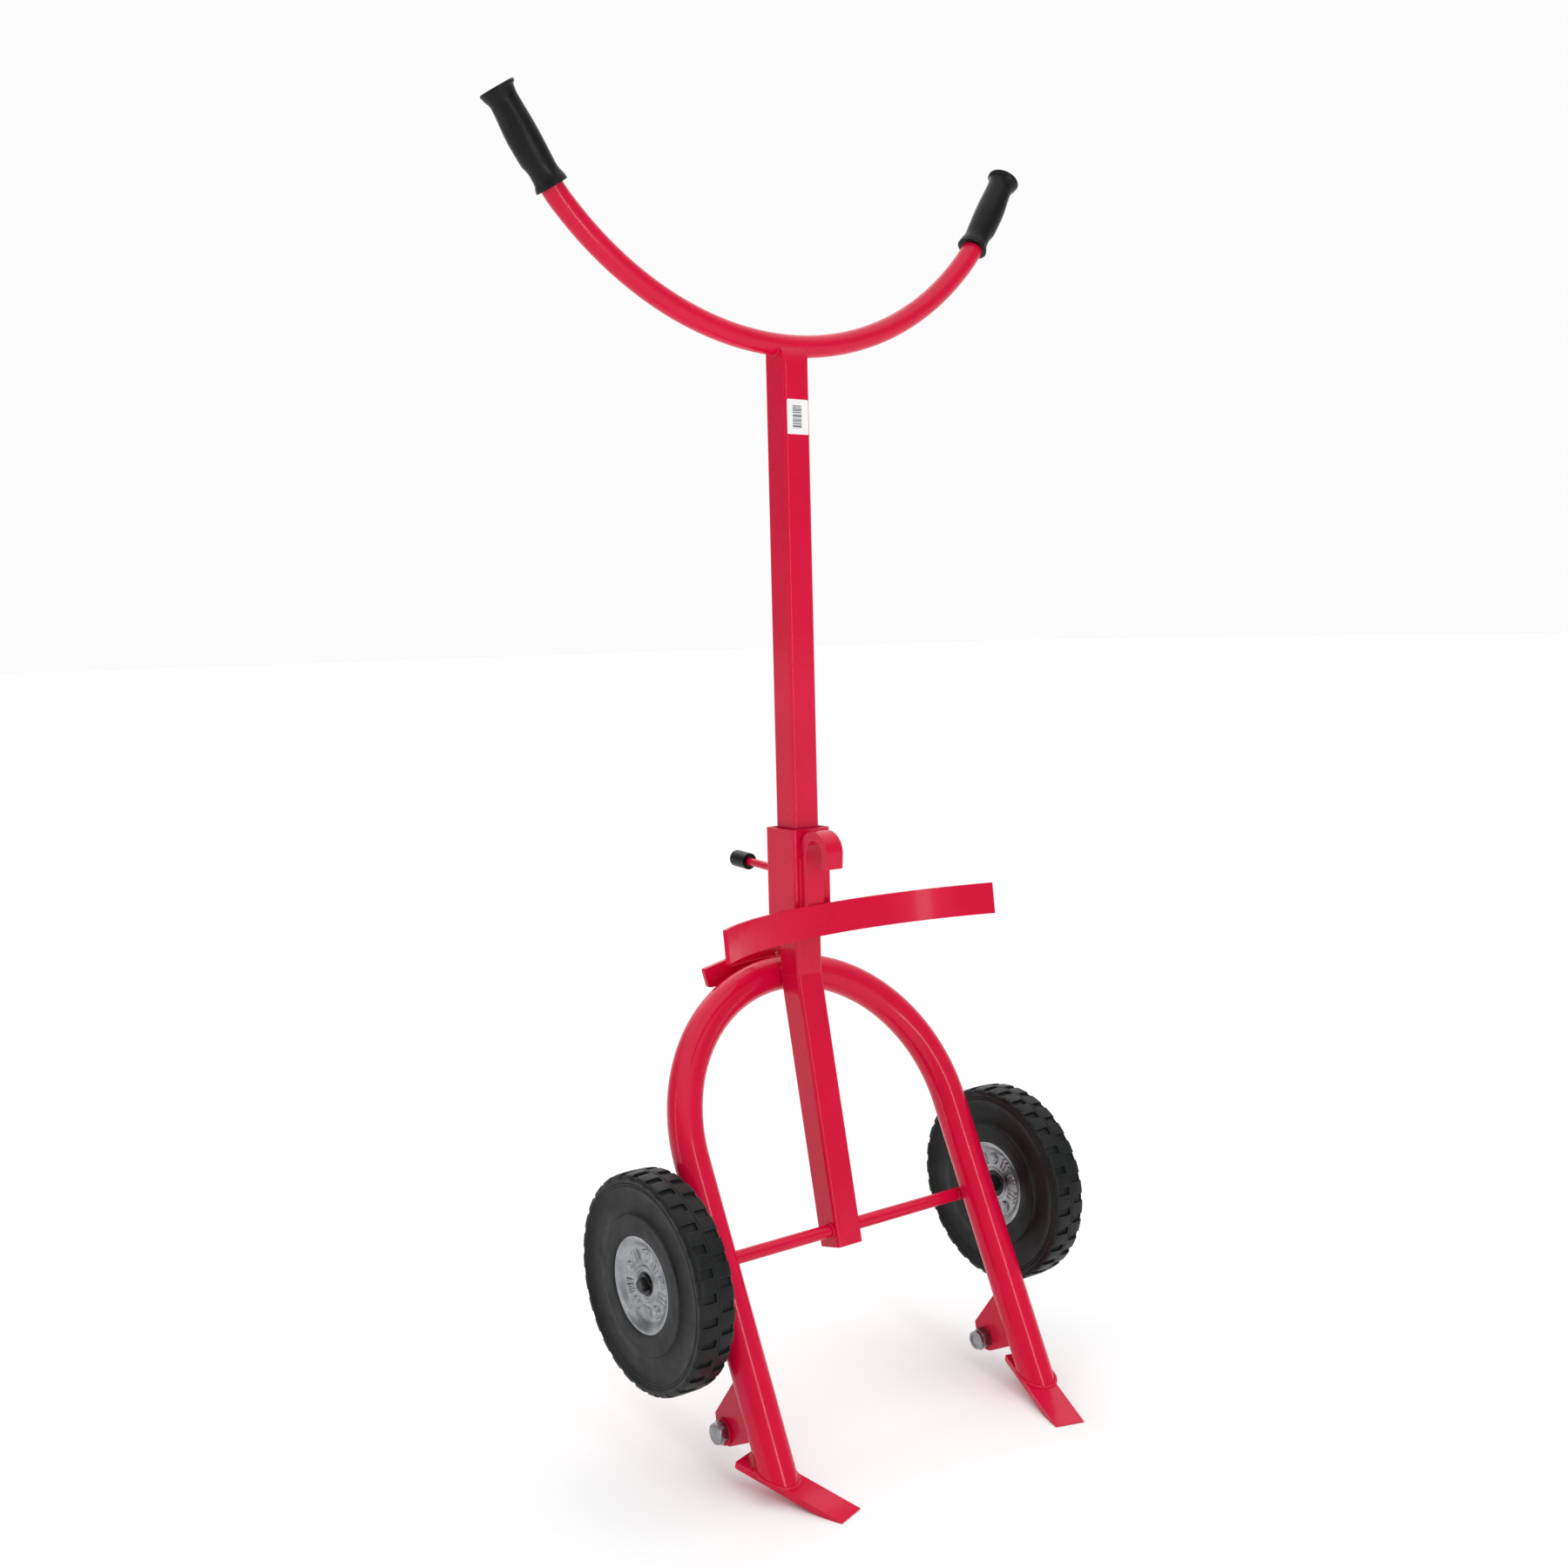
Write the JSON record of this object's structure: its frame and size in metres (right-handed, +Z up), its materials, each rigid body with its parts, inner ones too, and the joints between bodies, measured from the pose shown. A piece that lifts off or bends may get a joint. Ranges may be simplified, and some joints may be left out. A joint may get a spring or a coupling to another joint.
{
  "type": "drum hand truck",
  "caption": "Two-wheel drum hand truck: tubular leg arch with toes, square mast, sliding rim hook with curved cradle, and a wide curved handle with grips.",
  "frame": {"origin": "on the floor at the middle of the bounding box's base, mast upright", "axes": "+Z up along the mast, -Y towards the drum side, X along the axle, +X right seen from the drum side"},
  "size_m": [0.7782, 0.423, 1.5387],
  "materials": {
    "red_paint": "glossy crimson powder coat",
    "tyre_rubber": "solid black rubber, satin sides, worn tread",
    "grip_rubber": "matt black rubber with a fine pebble",
    "zinc_steel": "dull zinc plate with pressing marks",
    "bolt_steel": "zinc plated fasteners",
    "nylon": "dark nylon bush",
    "label_white": "plain white label"
  },
  "bodies": {
    "frame": {"mast_tube": "red_paint", "lower_strut": "red_paint", "handle_tube": "red_paint", "leg_arch_tube": "red_paint", "axle_rod": "red_paint", "step_plate": "red_paint", "mast_label": "label_white", "left_grip": "grip_rubber", "right_grip": "grip_rubber", "left_toe": "red_paint", "right_toe": "red_paint", "left_bolt_bracket": "red_paint", "right_bolt_bracket": "red_paint", "left_bolt_boss": "red_paint", "right_bolt_boss": "red_paint", "bracket_bolts": "bolt_steel", "bracket_lock_nuts": "bolt_steel", "left_axle_spacer": "zinc_steel", "right_axle_spacer": "zinc_steel", "left_thrust_washer": "zinc_steel", "right_thrust_washer": "zinc_steel", "left_retaining_ring": "bolt_steel", "right_retaining_ring": "bolt_steel"},
    "left_wheel": {"left_tyre": "tyre_rubber", "left_hub_outer_disc": "zinc_steel", "left_hub_inner_disc": "zinc_steel", "left_hub_tube": "zinc_steel", "left_hub_bush": "nylon", "left_hub_rivets": "zinc_steel"},
    "right_wheel": {"right_tyre": "tyre_rubber", "right_hub_outer_disc": "zinc_steel", "right_hub_inner_disc": "zinc_steel", "right_hub_tube": "zinc_steel", "right_hub_bush": "nylon", "right_hub_rivets": "zinc_steel"},
    "hook_carriage": {"sleeve_tube": "red_paint", "drum_hook": "red_paint", "cradle_band": "red_paint"},
    "lock": {"lock_plate": "zinc_steel", "lock_lever": "red_paint", "lever_cap": "grip_rubber"}
  },
  "joints": [
    {"name": "left_wheel_spin", "type": "hinge", "parent": "frame", "child": "left_wheel", "pos_m": [-0.269, 0.00951, 0.22371], "axis": [1, 0, 0], "continuous": true},
    {"name": "right_wheel_spin", "type": "hinge", "parent": "frame", "child": "right_wheel", "pos_m": [0.269, 0.00951, 0.22371], "axis": [1, 0, 0], "continuous": true},
    {"name": "sleeve_slide", "type": "slide", "parent": "frame", "child": "hook_carriage", "axis": [0, 0, 1], "range_m": [-0.03, 0.55]},
    {"name": "lock_lever_tilt", "type": "hinge", "parent": "hook_carriage", "child": "lock", "pos_m": [0, 0.0551, 0.6472], "axis": [1, 0, 0], "range_deg": [-8, 0], "stiffness_Nm_per_rad": 2, "springref_deg": 8.59}
  ]
}
